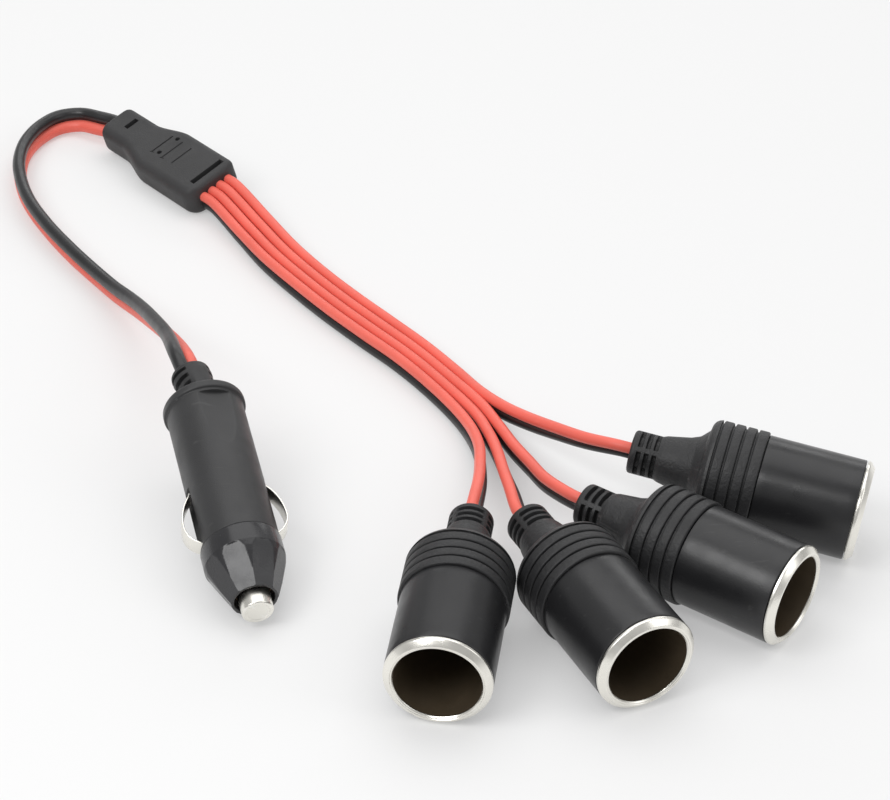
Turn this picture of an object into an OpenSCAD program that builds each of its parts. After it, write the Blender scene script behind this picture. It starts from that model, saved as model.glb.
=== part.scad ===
// Four-way 12 V accessory socket splitter: one fused plug, a Y-shaped junction
// block and four in-line sockets on red and black twin leads, laid out on a table.

/* [Sockets] */
// Radius of the socket bore
bore_r = 10.75; // [10.5:0.05:11.5]
// Outer radius of the barrel cover and the metal rim
barrel_r = 13.3; // [12.5:0.1:15]
// Wall of the metal shell
shell_wall = 0.6; // [0.4:0.1:1]
// Depth from the rim's rear edge to the insulator disc
bore_depth = 35.6; // [30:0.1:45]
// Height of the rolled rim
rim_h = 2.1; // [1:0.1:4]
// Length of the barrel cover in front of the grip
barrel_len = 26.2; // [20:0.1:35]
// Radius of the ribbed grip
grip_r = 14; // [13.5:0.1:16]
// Length of the ribbed grip
grip_len = 14; // [10:0.1:20]
// Spacing of the grip's grooves
groove_pitch = 3.1; // [2:0.1:4]
// Radius of the strain relief's ridged end
relief_r = 5.8; // [5:0.1:7]
// Whole length of the socket behind the rim
socket_len = 60.5; // [50:0.5:70]

/* [Plug] */
// Radius of the plug's handle body
plug_r = 10.3; // [9.5:0.1:10.5]
// Radius of the screw cap's land
cap_r = 10.5; // [10:0.1:10.6]
// Length of the screw cap's taper
cap_taper = 11.7; // [8:0.1:15]
// Radius of the tip contact
tip_r = 4.1; // [4:0.05:5]
// How far the tip contact presses in
tip_travel = 3; // [1:0.5:4]
// Distance from the cap's land to the rear flange
plug_len = 54.1; // [45:0.1:60]
// Radius of the rear flange
flange_r = 11; // [10.5:0.1:12]
// Width of a side contact
side_w = 5; // [4:0.1:6]
// Nose-down tilt of the plug as it lies
plug_tilt = 14; // [0:0.5:20]
// Sideways bend of the strain relief under the pull of the lead
boot_bend = 7; // [0:1:15]

/* [Junction block] */
// Length of the block
block_l = 52; // [45:0.5:60]
// Width at the four-lead end
block_w = 19.9; // [16:0.1:22]
// Width at the single-lead end
block_n = 13.4; // [10:0.1:15]
// Height of the block
block_h = 10.5; // [9:0.1:13]
// Rounding of the block's top and end edges
block_e = 2; // [1:0.1:3]
// Rounding of the block's bottom edges
block_b = 3.6; // [2:0.1:4]

/* [Leads] */
// Radius of one wire of a socket lead
wire_r = 1.55; // [1:0.05:2]
// Radius of one wire of the plug lead
main_r = 2; // [1.5:0.05:2.5]
// Spacing of the socket leads side by side
lead_pitch = 3.3; // [3.2:0.05:4]

/* [Facets] */
// Facets on round surfaces
round_fn = 96; // [48:8:128]

/* [Hidden] */
$fn = round_fn;

// where the laid-out set stands in its own frame
shift = [0.89, -1.19, 0];

// sockets: x, y of the rim's rear edge, heading, roll of the wire pair, nose-down tilt, height
sock = [[1.15, -137.7, -96.6, 20, 2.5, 13.34], [50.4, -128.65, -62.1, 34, 0.5, 13.78],
  [87.6, -100.1, -33.2, 13, 0.9, 13.59], [108, -63, -14.5, 30, 5, 13.34]];

// plug: where the taper starts, heading, roll of the wire pair
plug_at = [-48.5, -92.5, 10.2];
plug_yaw = -73;
plug_roll = 58;
spigot = 4 - tip_travel;
bend_z = -plug_len - 1.5;
boot_out = 10.9;

// junction block: narrow slot's centre, heading, roll
block_at = [-103.5, 134.2, 7.5];
block_yaw = -47;
block_roll = 18;
block_s0 = -8.5;
// the block's middle, and the middle of its wires, off the line of its slots
block_c = -1.4;
wire_c = -0.8;
wire_n = -0.8;

function heading(yaw, tilt) = [cos(tilt)*cos(yaw), cos(tilt)*sin(yaw), -sin(tilt)];
function sock_pt(i, s) = [sock[i][0], sock[i][1], sock[i][5]] + s*heading(sock[i][2], sock[i][4]);
function plug_pt(s) = plug_at + s*heading(plug_yaw, plug_tilt);
// a point on the bent strain relief's axis, l behind the bend
function boot_pt(l) = plug_pt(bend_z) - l*(cos(boot_bend)*heading(plug_yaw, plug_tilt) + sin(boot_bend)*[-sin(plug_yaw), cos(plug_yaw), 0]);
function block_pt(s, c, n) = block_at + s*[cos(block_yaw), sin(block_yaw), 0]
  + c*[-sin(block_yaw)*cos(block_roll), cos(block_yaw)*cos(block_roll), sin(block_roll)]
  + n*[sin(block_yaw)*sin(block_roll), -cos(block_yaw)*sin(block_roll), cos(block_roll)];

module at_socket(i) { translate(shift) translate([sock[i][0], sock[i][1], sock[i][5]]) rotate([0, 0, sock[i][2]]) rotate([0, 90 + sock[i][4], 0]) children(); }
module at_plug() { translate(shift) translate(plug_at) rotate([0, 0, plug_yaw]) rotate([0, 90 + plug_tilt, 0]) children(); }
module at_block() { translate(shift) translate(block_at) rotate([block_roll, 0, block_yaw]) children(); }

module tube(r1, r2, z1, z2) { rotate_extrude() translate([r1, z1]) square([r2 - r1, z2 - z1]); }
module rod(r, z1, z2) { translate([0, 0, z1]) cylinder(r = r, h = z2 - z1); }

// ---------------- sockets ----------------
module shell(i) {
  s = bore_r + shell_wall;
  at_socket(i) rotate_extrude() polygon([
    [bore_r - 0.3, -bore_depth - 1.8], [bore_r - 0.3, -bore_depth + 1.8], [bore_r, -bore_depth + 1.8], [bore_r, rim_h - 0.5], [bore_r + 0.4, rim_h], [bore_r + 1.2, rim_h],
    [barrel_r - 0.7, rim_h - 0.25], [barrel_r - 0.2, rim_h - 0.7], [barrel_r, rim_h - 1.2], [barrel_r, 0],
    [s, 0], [s, -bore_depth - 2.4], [8, -bore_depth - 2.4], [8, -bore_depth - 1.8]]);
}

module cover(i) {
  s = bore_r + shell_wall + 0.05;
  r = barrel_r - 1.1;
  z = -bore_depth;
  at_socket(i) rotate_extrude() polygon([
    [s, -0.25], [barrel_r - 0.3, -0.25], [barrel_r, -0.55], [barrel_r, -barrel_len + 0.1],
    [r, -barrel_len + 0.1], [r, z - 3.8], [9, z - 3.8], [9, z - 2.5], [s, z - 2.5]]);
}

module boot(i) {
  r = barrel_r - 1.05;
  g = -barrel_len - 0.1;
  f = -barrel_len - grip_len;
  at_socket(i) difference() {
    rotate_extrude() polygon([
      [r, g], [grip_r - 0.3, g], [grip_r, g - 0.3], [grip_r, f + 1.2], [grip_r - 0.25, f + 0.4], [grip_r - 0.8, f - 0.4], [grip_r - 1.6, f - 0.9],
      [10.3, f - 1.2], [9.2, f - 2], [8.3, f - 3.4], [7.6, f - 5.8], [6.2, f - 11.8], [relief_r, f - 12.8],
      [relief_r, -socket_len + 0.8], [relief_r - 0.8, -socket_len], [0, -socket_len],
      [0, f - 9.8], [4.2, f - 9.8], [6.4, f - 3.3], [8.6, f + 0.7], [r, f + 0.7]]);
    // grooves of the grip
    for (k = [1:4]) tube(grip_r - 0.7, grip_r + 1, g - k*groove_pitch - 0.3, g - k*groove_pitch + 0.3);
    // slots of the strain relief, four to a ring
    for (k = [0:2]) for (a = [0:90:270]) rotate([0, 0, a - 37]) rotate_extrude(angle = 74)
      translate([relief_r - 1.6, -socket_len + 1.9 + k*2.1]) square([3, 1.1]);
    // passages of the two wires
    rotate([0, 0, sock[i][3]]) for (x = [-wire_r, wire_r]) translate([x, 0, 0]) rod(wire_r - 0.2, -socket_len - 1, f - 9);
  }
}

module insulator(i) {
  at_socket(i) tube(1.6, bore_r - 0.35, -bore_depth - 1.75, -bore_depth);
}

module center_contact(i) {
  z = -bore_depth;
  at_socket(i) {
    rotate_extrude() polygon([[0, z - 2.6], [2.6, z - 2.6], [2.6, z - 1.8], [1.55, z - 1.8], [1.55, z + 0.05], [3.6, z + 0.05],
      [3.6, z + 0.4], [3.2, z + 0.9], [2.2, z + 1.3], [1, z + 1.5], [0, z + 1.5]]);
    translate([-0.4, -2.4, z - 8.6]) cube([0.8, 4.8, 6.2]);
  }
}

module ground_tab(i) {
  z = -bore_depth - 2.45;
  at_socket(i) {
    translate([5, -1.5, z - 0.6]) cube([3.8, 3, 0.6]);
    translate([5, -1.5, z - 4]) cube([0.8, 3, 3.6]);
  }
}

module red_tail(i) {
  at_socket(i) rotate([0, 0, sock[i][3]]) translate([-wire_r, 0, 0]) {
    rod(wire_r - 0.25, -socket_len, -47.5);
    rod(0.6, -47.6, -bore_depth - 8.7);
  }
}

module black_tail(i) {
  at_socket(i) rotate([0, 0, sock[i][3]]) translate([wire_r, 0, 0]) {
    rod(wire_r - 0.25, -socket_len, -46.8);
    translate([0.6, 0, 0]) rod(0.5, -47, -bore_depth - 8.8);
  }
}

module socket_1_shell() { color([0.86, 0.85, 0.82]) shell(0); }
module socket_2_shell() { color([0.86, 0.85, 0.82]) shell(1); }
module socket_3_shell() { color([0.86, 0.85, 0.82]) shell(2); }
module socket_4_shell() { color([0.86, 0.85, 0.82]) shell(3); }
module socket_1_cover() { color([0.16, 0.16, 0.17]) cover(0); }
module socket_2_cover() { color([0.16, 0.16, 0.17]) cover(1); }
module socket_3_cover() { color([0.16, 0.16, 0.17]) cover(2); }
module socket_4_cover() { color([0.16, 0.16, 0.17]) cover(3); }
module socket_1_boot() { color([0.22, 0.22, 0.23]) boot(0); }
module socket_2_boot() { color([0.22, 0.22, 0.23]) boot(1); }
module socket_3_boot() { color([0.22, 0.22, 0.23]) boot(2); }
module socket_4_boot() { color([0.22, 0.22, 0.23]) boot(3); }
module socket_1_insulator() { color([0.28, 0.2, 0.14]) insulator(0); }
module socket_2_insulator() { color([0.28, 0.2, 0.14]) insulator(1); }
module socket_3_insulator() { color([0.28, 0.2, 0.14]) insulator(2); }
module socket_4_insulator() { color([0.28, 0.2, 0.14]) insulator(3); }
module socket_1_center_contact() { color([0.78, 0.62, 0.35]) center_contact(0); }
module socket_2_center_contact() { color([0.78, 0.62, 0.35]) center_contact(1); }
module socket_3_center_contact() { color([0.78, 0.62, 0.35]) center_contact(2); }
module socket_4_center_contact() { color([0.78, 0.62, 0.35]) center_contact(3); }
module socket_1_ground_tab() { color([0.8, 0.79, 0.76]) ground_tab(0); }
module socket_2_ground_tab() { color([0.8, 0.79, 0.76]) ground_tab(1); }
module socket_3_ground_tab() { color([0.8, 0.79, 0.76]) ground_tab(2); }
module socket_4_ground_tab() { color([0.8, 0.79, 0.76]) ground_tab(3); }
module socket_1_red_tail() { color([0.88, 0.33, 0.27]) red_tail(0); }
module socket_2_red_tail() { color([0.88, 0.33, 0.27]) red_tail(1); }
module socket_3_red_tail() { color([0.88, 0.33, 0.27]) red_tail(2); }
module socket_4_red_tail() { color([0.88, 0.33, 0.27]) red_tail(3); }
module socket_1_black_tail() { color([0.14, 0.14, 0.15]) black_tail(0); }
module socket_2_black_tail() { color([0.14, 0.14, 0.15]) black_tail(1); }
module socket_3_black_tail() { color([0.14, 0.14, 0.15]) black_tail(2); }
module socket_4_black_tail() { color([0.14, 0.14, 0.15]) black_tail(3); }

// ---------------- leads ----------------
// a route point is [x, y, z of the pair's middle, lean of the upper wire to the right]
function xyz(p) = [p[0], p[1], p[2]];
function unit(v) = v/norm(v);
function right_of(t) = unit([t[1], -t[0], 0]);
function tangent(p, i) = let(n = len(p) - 1)
  i == 0 ? unit(xyz(p[1]) - xyz(p[0])) : i == n ? unit(xyz(p[n]) - xyz(p[n - 1]))
  : unit(unit(xyz(p[i + 1]) - xyz(p[i])) + unit(xyz(p[i]) - xyz(p[i - 1])));
// the figure-of-eight section: six corners to each wire
function eight(r) = [for (a = [-60:60:240]) [r*cos(a), r + r*sin(a)], for (a = [120:60:420]) [r*cos(a), r*sin(a) - r]];
function ring(p, i, r) = let(t = tangent(p, i), a = p[i][3],
    w0 = [0, 0, cos(a)] + sin(a)*right_of(t), w = unit(w0 - (w0*t)*t), n = cross(t, w))
  [for (q = eight(r)) xyz(p[i]) + q[0]*n + q[1]*w];

module lead(p, r) {
  n = 12;
  m = len(p);
  translate(shift) polyhedron(
    points = [for (i = [0:m - 1]) each ring(p, i, r)],
    faces = concat(
      [[for (k = [n - 1:-1:0]) k]],
      [for (i = [0:m - 2]) for (k = [0:n - 1]) [i*n + k, i*n + (k + 1)%n, (i + 1)*n + (k + 1)%n]],
      [for (i = [0:m - 2]) for (k = [0:n - 1]) [i*n + k, (i + 1)*n + (k + 1)%n, (i + 1)*n + k]],
      [[for (k = [0:n - 1]) (m - 1)*n + k]]));
}

// the four socket leads run side by side along this line: x, y, z, lean, spacing beyond the block's
ribbon = [[-60.9, 83.6, 4.3, 12, 0.1], [-52, 69.2, 3.5, 4, 0.25], [-42.2, 55.6, 3.2, 0, 0.25], [-31.4, 41.8, 3.2, 0, 0.3], [-20.8, 29.4, 3.2, 0, 0.3],
  [-10.1, 17, 3.2, 0, 0.15], [-0.9, 4.6, 3.2, 0, 0.1]];
function beside(i) = [for (k = [0:len(ribbon) - 1]) let(t = tangent(ribbon, k), q = xyz(ribbon[k]) - (i - 1.5)*(lead_pitch + ribbon[k][4])*right_of(t))
  [q[0], q[1], q[2] + (k == 0 ? (i - 1.5)*0.5 : k == 1 ? (i - 1.5)*0.15 : 0), ribbon[k][3]]];
// then each goes its own way
fan = [
  [[3, -11.2, 3.3, -2], [7.4, -22, 4.4, -4], [9.7, -34, 7, 0], [10.2, -47, 10.4, 8], [10, -58.6, 13.6, 13]],
  [[8.7, -13.3, 3.3, 2], [12.7, -25.5, 5, 6], [15, -37, 7.5, 12], [16.6, -48.4, 10.2, 20], [18.3, -59.1, 12.6, 28]],
  [[10.2, -8.8, 3.5, 0], [15.3, -20.5, 4.5, 4], [19.3, -32.2, 6.6, 7], [23.5, -44.2, 9.6, 9], [27.6, -55.4, 12.4, 11]],
  [[9.6, -2, 3.5, 0], [16.2, -11.3, 5.2, 9], [23, -20.9, 8.3, 16], [30.4, -31.3, 12.5, 22], [38.5, -41.3, 16.6, 28]]
];
function socket_route(i) = concat(
  [for (s = [block_s0 + block_l, block_s0 + block_l + 4]) let(q = block_pt(s, wire_c + (i - 1.5)*lead_pitch, wire_n)) [q[0], q[1], q[2], block_roll]],
  beside(i), fan[i],
  [for (s = [-socket_len - 3, -socket_len]) let(q = sock_pt(i, s)) [q[0], q[1], q[2], sock[i][3]]]);
plug_route = concat(
  [for (s = [block_s0, block_s0 - 4]) let(q = block_pt(s, wire_c, wire_n)) [q[0], q[1], q[2] - (s < block_s0 ? 0.7 : 0), 22]],
  [[-117.2, 145.3, 5.6, 28], [-123.6, 148.6, 4.8, 28], [-130.4, 147, 4.3, 20], [-135.5, 140, 4.1, 12], [-138.6, 129, 4.1, 5],
   [-138.5, 116, 4.1, 4], [-135.6, 103.7, 4.1, 7], [-131, 92.1, 4.05, 14], [-123.1, 77.8, 4, 17], [-114.5, 64.8, 3.95, 16],
   [-105.9, 52.9, 4.2, 18], [-98.2, 41.3, 5.6, 18], [-90.2, 27.2, 9.6, 19], [-82.4, 9, 16, 28], [-75.9, -8, 21.8, 40]],
  [for (l = [boot_out + 6, boot_out]) let(q = boot_pt(l)) [q[0], q[1], q[2], plug_roll]]);

module lead_1() { color([0.88, 0.33, 0.27]) lead(socket_route(0), wire_r); }
module lead_2() { color([0.88, 0.33, 0.27]) lead(socket_route(1), wire_r); }
module lead_3() { color([0.88, 0.33, 0.27]) lead(socket_route(2), wire_r); }
module lead_4() { color([0.88, 0.33, 0.27]) lead(socket_route(3), wire_r); }
module plug_lead() { color([0.88, 0.33, 0.27]) lead(plug_route, main_r); }

// ---------------- junction block ----------------
// rounded rectangle, three flats to a corner, top corners r and bottom ones b
function round_rect(w, h, r, b) = [for (c = [[1, 1, 0, r], [-1, 1, 90, r], [-1, -1, 180, b], [1, -1, 270, b]]) for (a = [0:30:90])
  [c[0]*(w/2 - c[3]) + c[3]*cos(a + c[2]), c[1]*(h/2 - c[3]) + c[3]*sin(a + c[2])]];
module bar(w, s1, s2) { translate([s1, 0, 0]) rotate([90, 0, 90]) linear_extrude(s2 - s1) polygon(round_rect(w, block_h, block_e, block_b)); }

module block_outer() {
  s1 = block_s0 + block_l;
  n = block_n/2;
  w = block_w/2;
  translate([0, block_c, 0]) intersection() {
    union() {
      bar(block_n, block_s0 - 1, 9);
      // the waist, longer on the side that lies on the table
      intersection() {
        bar(block_w, 5, 20.5);
        translate([0, 0, -10]) linear_extrude(20) polygon([[4.9, -n], [16.5, -w], [21, -w], [21, w], [19, w], [7.9, n], [4.9, n]]);
      }
      bar(block_w, 20, s1 + 1);
    }
    // rounded ends, seen from the side
    translate([block_s0 + block_l/2, 20, 0]) rotate([90, 0, 0]) linear_extrude(40) polygon(round_rect(block_l, block_h, block_e, block_e));
    // rounded corners of both ends, seen from above
    translate([0, 0, -10]) linear_extrude(20) polygon([
      [block_s0, -n + 2.5], [block_s0 + 0.7, -n + 0.8], [block_s0 + 2.5, -n - 0.1], [block_s0 + 3, -20], [s1 - 5, -20],
      [s1 - 4, -w], [s1 - 1.2, -w + 1.2], [s1, -w + 4], [s1, w - 2.4], [s1 - 0.7, w - 0.7], [s1 - 2.5, w],
      [s1 - 3, 20], [block_s0 + 3, 20], [block_s0 + 2.5, n + 0.1], [block_s0 + 0.7, n - 0.8], [block_s0, n - 2.5]]);
  }
}

module junction_housing() {
  t = block_h/2;
  s1 = block_s0 + block_l;
  color([0.3, 0.3, 0.31]) at_block() difference() {
    block_outer();
    translate([0, wire_c, wire_n]) {
      // hollow for the splices
      translate([block_s0 + 6, -3.2, -3]) cube([16, 6.4, 6]);
      translate([block_s0 + 21, -6, -3]) cube([18, 12, 6]);
      translate([30, -6.6, -3]) cube([8.5, 13.2, 6]);
      // passages for the wires
      for (c = [-1.5:1:1.5]) for (z = [-wire_r, wire_r]) translate([s1 - 6, c*lead_pitch, z]) rotate([0, 90, 0]) cylinder(r = wire_r - 0.25, h = 7, $fn = 32);
    }
    // slots and moulded lines in the top
    translate([-0.9, -2.3, t - 1.2]) cube([1.8, 4.6, 2.4]);
    translate([39.05, -6.2, t - 1.2]) cube([1.8, 12.4, 2.4]);
    for (s = [16.9, 22, 26.9]) translate([s - 0.2, -4.1, t - 0.25]) cube([0.4, 8.2, 2]);
    for (c = [-3.4, 4.2]) translate([19.3, c, t - 0.6]) cylinder(r = 0.75, h = 2, $fn = 24);
  }
}

module splice(z) {
  s1 = block_s0 + block_l;
  at_block() translate([0, wire_c, wire_n + z]) rotate([0, 90, 0]) {
    rod(1.3, block_s0 + 6.2, 24);
    rod(1.45, 22, 33);
    for (c = [-1.5:1:1.5]) translate([0, c*lead_pitch, 0]) rod(wire_r - 0.3, 34.5, s1 - 0.05);
    translate([-0.8, -6, 33.4]) cube([1.6, 12, 1.2]);
    rod(1, 32.9, 33.6);
  }
}
module red_splice() { color([0.88, 0.33, 0.27]) splice(wire_r); }
module black_splice() { color([0.14, 0.14, 0.15]) splice(-wire_r); }

// ---------------- plug ----------------
module plug_body() {
  r = plug_r;
  color([0.24, 0.24, 0.25]) at_plug() difference() {
    union() {
      rotate_extrude() polygon([
        [0, spigot], [7.6, spigot], [7.92, spigot - 0.3], [7.92, -5.2], [r, -5.2], [r, -plug_len + 3], [flange_r - 0.3, -plug_len + 2.7],
        [flange_r, -plug_len + 2.2], [flange_r, -plug_len + 0.8], [flange_r - 0.8, -plug_len], [0, -plug_len]]);
    }
    // fuse bore, rear chamber and the boot's hole
    rod(3.6, -30, 2);
    rod(8.4, -49.5, -27);
    rod(4.6, -plug_len - 1, -49);
    // thumb flat, deepest at its ledge by the flange
    rotate([0, 0, -11]) translate([-r - 0.02, -10, -32]) rotate([0, -3.2, 0]) translate([-5, 0, -18.5]) cube([5, 20, 19]);
    // pockets of the side contacts
    for (a = [0, 180]) rotate([0, 0, a]) translate([-side_w/2 - 0.4, 4.2, -24.6]) cube([side_w + 0.8, 9, 18.9]);
    // channel of the black wire
    translate([0, -6.6, -28]) cylinder(r = 0.9, h = 4, $fn = 32);
  }
}

// a wire or its passage through the bent strain relief, with a ball at the bend
module bent_rod(x, y, r, top, out) {
  h = y*tan(boot_bend/2);
  translate([x, y, bend_z - h]) sphere(r = r + 0.05);
  translate([x, y, 0]) rod(r, bend_z - h, top);
  translate([0, 0, bend_z]) rotate([-boot_bend, 0, 0]) translate([x, y, 0]) rod(r, -out, h);
}

module plug_boot() {
  z = -plug_len;
  e = -boot_out;
  color([0.26, 0.26, 0.27]) at_plug() difference() {
    union() {
      rotate_extrude() polygon([
        [0, z - 1.9], [5.6, z - 1.9], [5.65, z - 1], [6.2, z - 0.05], [4.55, z - 0.05], [4.55, z + 5], [6.4, z + 5], [6.4, z + 7], [0, z + 7]]);
      translate([0, 0, bend_z]) rotate([-boot_bend, 0, 0]) rotate_extrude() polygon([
        [0, e], [4.6, e], [5.3, e + 0.7], [5.5, e + 2.4], [5.4, 0.4], [0, 0.4]]);
    }
    translate([0, 0, bend_z]) rotate([-boot_bend, 0, 0]) for (k = [0:3]) for (a = [0, 180]) rotate([0, 0, a - 72]) rotate_extrude(angle = 144)
      translate([4.5, e + 1.6 + k*2.3]) square([2.5, 1.1]);
    for (k = [-1, 1]) bent_rod(k*main_r*cos(plug_roll), k*main_r*sin(plug_roll), main_r - 0.2, z + 8, boot_out + 1);
  }
}

module nose_cap() {
  color([0.2, 0.2, 0.21]) at_plug() difference() {
    rotate_extrude() polygon([
      [8, -5.1], [cap_r - 0.3, -5.1], [cap_r, -4.8], [cap_r, 0], [cap_r - 0.5, 1.8], [7, cap_taper - 2],
      [6.6, cap_taper - 0.6], [6, cap_taper], [5.4, cap_taper], [5.2, cap_taper - 0.4], [5.2, 8.1], [6, 8.1], [6, 2], [8, 2]]);
    // eight flats round the taper
    for (a = [22.5:45:360]) rotate([0, 0, a]) translate([cap_r - 0.35, -8, 0.6]) rotate([0, -22, 0]) cube([6, 16, 16]);
  }
}

module cap_washer() { color([0.6, 0.45, 0.3]) at_plug() tube(4.9, 5.9, 7, 8); }

module tip_contact() {
  color([0.86, 0.84, 0.78]) at_plug() rotate_extrude() polygon([
    [0, 4.5], [5.6, 4.5], [5.6, 6.7], [tip_r, 6.7], [tip_r, 15.1], [tip_r - 0.2, 15.5], [tip_r - 0.6, 15.7], [0, 15.7]]);
}

module fuse_cap_front() { color([0.8, 0.8, 0.78]) at_plug() difference() { rod(3.2, -1.7, 4.45); rod(2.95, -2, 3.9); } }
module fuse_cap_rear() { color([0.8, 0.8, 0.78]) at_plug() difference() { rod(3.2, -25.6, -19.5); rod(2.95, -25, -19); } }
module fuse_glass() { color([0.75, 0.85, 0.88]) at_plug() tube(2.3, 2.9, -24.95, 3.85); }

// spring: a coil swept turn by turn
module tip_spring() {
  n = 6;
  turns = 8;
  steps = 10;
  r = 2.7;
  w = 0.35;
  z0 = -25.7 - w;
  z1 = -43.9 + w;
  m = turns*steps;
  color([0.75, 0.75, 0.74]) at_plug() polyhedron(
    points = [for (i = [0:m]) let(a = 360*i/steps, z = z0 + (z1 - z0)*i/m) for (k = [0:n - 1])
      [(r + w*cos(60*k))*cos(a), (r + w*cos(60*k))*sin(a), z + w*sin(60*k)]],
    faces = concat([[for (k = [0:n - 1]) k]],
      [for (i = [0:m - 1]) for (k = [0:n - 1]) [i*n + k, (i + 1)*n + (k + 1)%n, i*n + (k + 1)%n]],
      [for (i = [0:m - 1]) for (k = [0:n - 1]) [i*n + k, (i + 1)*n + k, (i + 1)*n + (k + 1)%n]],
      [[for (k = [n - 1:-1:0]) m*n + k]]));
}

module rear_fuse_contact() {
  color([0.8, 0.65, 0.38]) at_plug() {
    rod(3.4, -44.8, -44);
    translate([-0.4, -4, -44.8]) cube([0.8, 8, 0.8]);
  }
}

// a bowed strip that stands out of its pocket and swings on the rolled eye at its rear end
module side_strip() {
  rotate([90, 0, 90]) translate([0, 0, -side_w/2]) linear_extrude(side_w) {
    difference() {
      intersection() {
        translate([-3.4, -12.5]) circle(r = 17);
        translate([8.6, -23.1]) square([8, 10.65]);
      }
      translate([-3.4, -12.5]) circle(r = 16.5);
    }
    difference() {
      intersection() {
        translate([7, -12.5]) circle(r = 6.6);
        translate([8.6, -12.5]) square([8, 8]);
      }
      translate([7, -12.5]) circle(r = 6.1);
    }
    translate([9.65, -23.1]) circle(r = 0.5);
  }
}
module side_contact_left() { color([0.85, 0.83, 0.77]) at_plug() side_strip(); }
module side_contact_right() { color([0.85, 0.83, 0.77]) at_plug() rotate([0, 0, 180]) side_strip(); }

module plug_red_tail() {
  color([0.88, 0.33, 0.27]) at_plug() bent_rod(main_r*cos(plug_roll), main_r*sin(plug_roll), main_r - 0.25, -44.9, boot_out);
}
module plug_black_tail() {
  color([0.14, 0.14, 0.15]) at_plug() {
    bent_rod(-main_r*cos(plug_roll), -main_r*sin(plug_roll), main_r - 0.25, -46, boot_out);
    translate([0, -6.6, 0]) rod(0.7, -46.6, -24.9);
    translate([-0.6, -6.6, -46.6]) cube([1.2, 4.4, 0.7]);
  }
}

socket_1_shell();
socket_1_cover();
socket_1_boot();
socket_1_insulator();
socket_1_center_contact();
socket_1_ground_tab();
socket_1_red_tail();
socket_1_black_tail();
socket_2_shell();
socket_2_cover();
socket_2_boot();
socket_2_insulator();
socket_2_center_contact();
socket_2_ground_tab();
socket_2_red_tail();
socket_2_black_tail();
socket_3_shell();
socket_3_cover();
socket_3_boot();
socket_3_insulator();
socket_3_center_contact();
socket_3_ground_tab();
socket_3_red_tail();
socket_3_black_tail();
socket_4_shell();
socket_4_cover();
socket_4_boot();
socket_4_insulator();
socket_4_center_contact();
socket_4_ground_tab();
socket_4_red_tail();
socket_4_black_tail();
lead_1();
lead_2();
lead_3();
lead_4();
plug_lead();
junction_housing();
red_splice();
black_splice();
plug_body();
plug_boot();
nose_cap();
cap_washer();
tip_contact();
tip_spring();
fuse_glass();
fuse_cap_front();
fuse_cap_rear();
rear_fuse_contact();
side_contact_left();
side_contact_right();
plug_red_tail();
plug_black_tail();
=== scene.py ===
import math
import bpy
import numpy as np
from mathutils import Matrix


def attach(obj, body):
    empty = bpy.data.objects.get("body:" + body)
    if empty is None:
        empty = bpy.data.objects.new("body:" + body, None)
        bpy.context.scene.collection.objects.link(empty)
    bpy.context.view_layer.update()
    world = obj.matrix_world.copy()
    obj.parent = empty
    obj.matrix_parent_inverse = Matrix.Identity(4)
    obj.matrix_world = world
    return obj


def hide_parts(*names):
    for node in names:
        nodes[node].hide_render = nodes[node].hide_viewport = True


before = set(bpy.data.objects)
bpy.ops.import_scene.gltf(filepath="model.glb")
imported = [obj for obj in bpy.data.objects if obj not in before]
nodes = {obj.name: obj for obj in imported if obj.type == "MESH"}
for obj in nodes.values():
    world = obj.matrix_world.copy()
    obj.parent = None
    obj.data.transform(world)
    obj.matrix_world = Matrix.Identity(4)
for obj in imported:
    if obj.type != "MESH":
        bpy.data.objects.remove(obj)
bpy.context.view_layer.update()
MM = 0.001
ROOT = "splitter"

# ------------------------------------------------------------------ layout, as in the CAD
SHIFT = np.array([0.89, -1.19, 0.0])
# x, y of the rim's rear edge, heading, roll of the wires, tilt, height
SOCK = [(1.15, -137.7, -96.6, 20, 2.5, 13.34), (50.4, -128.65, -62.1, 34, 0.5, 13.78), (87.6, -100.1, -33.2, 13, 0.9, 13.59),
        (108, -63, -14.5, 30, 5, 13.34)]
SOCK_LEN = 60.5
PLUG_AT, PLUG_YAW, PLUG_TILT, PLUG_ROLL, PLUG_LEN = np.array([-48.5, -92.5, 10.2]), -73, 14, 58, 54.1
BOOT_BEND, BEND_Z, BOOT_OUT = 7, -55.6, 10.9
BLOCK_AT, BLOCK_YAW, BLOCK_ROLL, S0, BLOCK_L = np.array([-103.5, 134.2, 7.5]), -47, 18, -8.5, 52
BLOCK_C, WIRE_C, WIRE_N = -1.4, -0.8, -0.8
BORE_R, BARREL_R, GRIP_R, RELIEF_R = 10.75, 13.3, 14.0, 5.8
WIRE_R, MAIN_R, PITCH = 1.55, 2.0, 3.3


def rad(a):
    return math.radians(a)


def smoothstep(x):
    x = np.clip(x, 0, 1)
    return x * x * (3 - 2 * x)


def heading(yaw, tilt):
    return np.array([math.cos(rad(tilt)) * math.cos(rad(yaw)), math.cos(rad(tilt)) * math.sin(rad(yaw)), -math.sin(rad(tilt))])


def lying(at, yaw, tilt):
    """4x4 for a piece whose own z points along its heading, x down, y to the left; millimetres."""
    z = heading(yaw, tilt)
    y = np.array([-math.sin(rad(yaw)), math.cos(rad(yaw)), 0])
    m = np.eye(4)
    m[:3, 0], m[:3, 1], m[:3, 2], m[:3, 3] = np.cross(y, z), y, z, np.asarray(at) + SHIFT
    return m


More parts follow.
